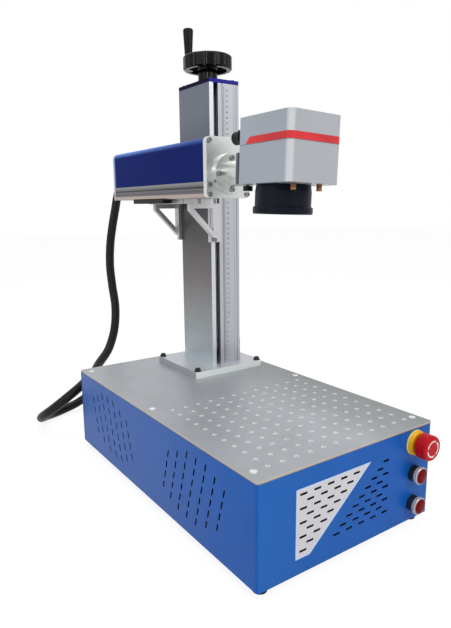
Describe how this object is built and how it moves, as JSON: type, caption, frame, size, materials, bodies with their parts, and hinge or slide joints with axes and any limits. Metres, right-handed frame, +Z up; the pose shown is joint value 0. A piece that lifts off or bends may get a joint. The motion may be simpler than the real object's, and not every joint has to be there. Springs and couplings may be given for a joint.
{
  "type": "laser marking machine",
  "caption": "Desktop laser marking machine: vented cabinet with a drilled worktop, a column with a hand-cranked lift, and an arm carrying the beam tube and scan head over the table.",
  "frame": {"origin": "on the floor under the middle of the cabinet, at the centre of its four feet", "axes": "+Z up, -Y towards the operator and the front panel with the controls, +X to the operator's right, the column's side"},
  "size_m": [0.4063, 0.8426, 0.8348],
  "materials": {
    "cabinet_paint": "satin powder coat",
    "sheet_steel": "zinc plated sheet",
    "worktop": "bead blasted and anodised",
    "bright_screws": "bright zinc",
    "foot_rubber": "moulded",
    "vent_white": "matt white",
    "stop_yellow": "moulded",
    "stop_red": "moulded",
    "dark_metal": "black",
    "black_plastic": "moulded",
    "chrome": "polished",
    "lens_red": "translucent red",
    "raw_aluminium": "natural anodised",
    "board": "solder resist",
    "black_steel": "black oxide",
    "cover_grey": "grey anodised",
    "cap_blue": "blue anodised",
    "scale": "engraved",
    "steel": "ground",
    "black_gloss": "moulded",
    "brass": "turned",
    "arm_navy": "blue anodised",
    "bright_aluminium": "machined",
    "hose_black": "satin",
    "head_grey": "satin",
    "mirror": "gold coated",
    "lens_black": "black anodised",
    "lens_glass": "coated"
  },
  "bodies": {
    "base": {"cabinet_shell": "cabinet_paint", "bottom_plate": "sheet_steel", "rear_panel": "cabinet_paint", "case_screws": "bright_screws", "worktop": "worktop", "feet": "foot_rubber", "vent_plate": "vent_white", "stop_collar": "stop_yellow", "contact_blocks": "black_plastic", "button_bezels": "chrome", "laser_source": "dark_metal", "power_supply": "raw_aluminium", "control_board": "board", "fan_frame": "black_plastic", "power_inlet": "black_plastic", "cabinet_gland": "black_plastic", "column_foot_plate": "raw_aluminium", "column_bolts": "black_steel", "column_profile": "raw_aluminium", "column_cover": "cover_grey", "column_cap": "cap_blue", "scale_strip": "scale", "side_clamp": "raw_aluminium", "guide_rods": "steel", "screw_bearings": "dark_metal", "hose": "hose_black"},
    "screw": {"lift_screw": "steel", "handwheel": "black_gloss", "handle_spindle": "steel"},
    "crank": {"crank_handle": "black_gloss"},
    "lift": {"carriage_block": "raw_aluminium", "lift_nut": "brass", "carriage_ears": "raw_aluminium", "arm_brackets": "raw_aluminium", "arm_mount_plate": "raw_aluminium", "arm_base": "raw_aluminium", "arm_cover": "arm_navy", "arm_end_cap": "raw_aluminium", "arm_access_cover": "black_plastic", "arm_flange": "bright_aluminium", "arm_screws": "bright_screws", "beam_tube": "bright_aluminium", "collimator": "dark_metal", "arm_gland": "black_plastic", "head_back_plate": "dark_metal", "head_housing": "head_grey", "head_cover": "head_grey", "head_fittings": "black_plastic", "pointers": "brass", "scan_motors": "dark_metal", "lens_barrel": "lens_black", "lens_ring": "lens_black", "lens_glass": "lens_glass"},
    "stop_push": {"stop_stem": "dark_metal"},
    "stop_turn": {"stop_head": "stop_red"},
    "upper_button": {"upper_button_cap": "lens_red"},
    "lower_button": {"lower_button_cap": "lens_red"},
    "fan": {"fan_rotor": "black_plastic"},
    "scan_x": {"mirror_x": "mirror"},
    "scan_y": {"mirror_y": "mirror"}
  },
  "joints": [
    {"name": "screw_turn", "type": "hinge", "parent": "base", "child": "screw", "pos_m": [0.079, 0.184, 0.178], "axis": [0, 0, 1], "range_deg": [-8650, 17290]},
    {"name": "lift_travel", "type": "slide", "parent": "base", "child": "lift", "axis": [0, 0, 1], "range_m": [-0.2401, 0.1201], "deforming": ["hose"]},
    {"name": "handle_spin", "type": "hinge", "parent": "screw", "child": "crank", "pos_m": [0.04854, 0.20501, 0.79], "axis": [0, 0, 1], "continuous": true},
    {"name": "stop_press", "type": "slide", "parent": "base", "child": "stop_push", "axis": [0, 1, 0], "range_m": [0, 0.004], "stiffness_N_per_m": 1500},
    {"name": "stop_twist", "type": "hinge", "parent": "stop_push", "child": "stop_turn", "pos_m": [0.133, -0.312, 0.14], "axis": [0, 1, 0], "range_deg": [0, 30], "stiffness_Nm_per_rad": 0.1},
    {"name": "upper_button_press", "type": "slide", "parent": "base", "child": "upper_button", "axis": [0, 1, 0], "range_m": [0, 0.003], "stiffness_N_per_m": 800},
    {"name": "lower_button_press", "type": "slide", "parent": "base", "child": "lower_button", "axis": [0, 1, 0], "range_m": [0, 0.003], "stiffness_N_per_m": 800},
    {"name": "fan_spin", "type": "hinge", "parent": "base", "child": "fan", "pos_m": [-0.1, 0.285, 0.088], "axis": [0, 1, 0], "continuous": true},
    {"name": "scan_x_turn", "type": "hinge", "parent": "lift", "child": "scan_x", "pos_m": [-0.01549, -0.1435, 0.55054], "axis": [0.0401, 0, 0.9992], "range_deg": [-12, 12]},
    {"name": "scan_y_turn", "type": "hinge", "parent": "lift", "child": "scan_y", "pos_m": [-0.002, -0.1435, 0.55], "axis": [0, 1, 0], "range_deg": [-12, 12]}
  ],
  "couplings": [
    {"joint": "screw_turn", "follows": "lift_travel", "rad_per_m": -1256.6}
  ]
}
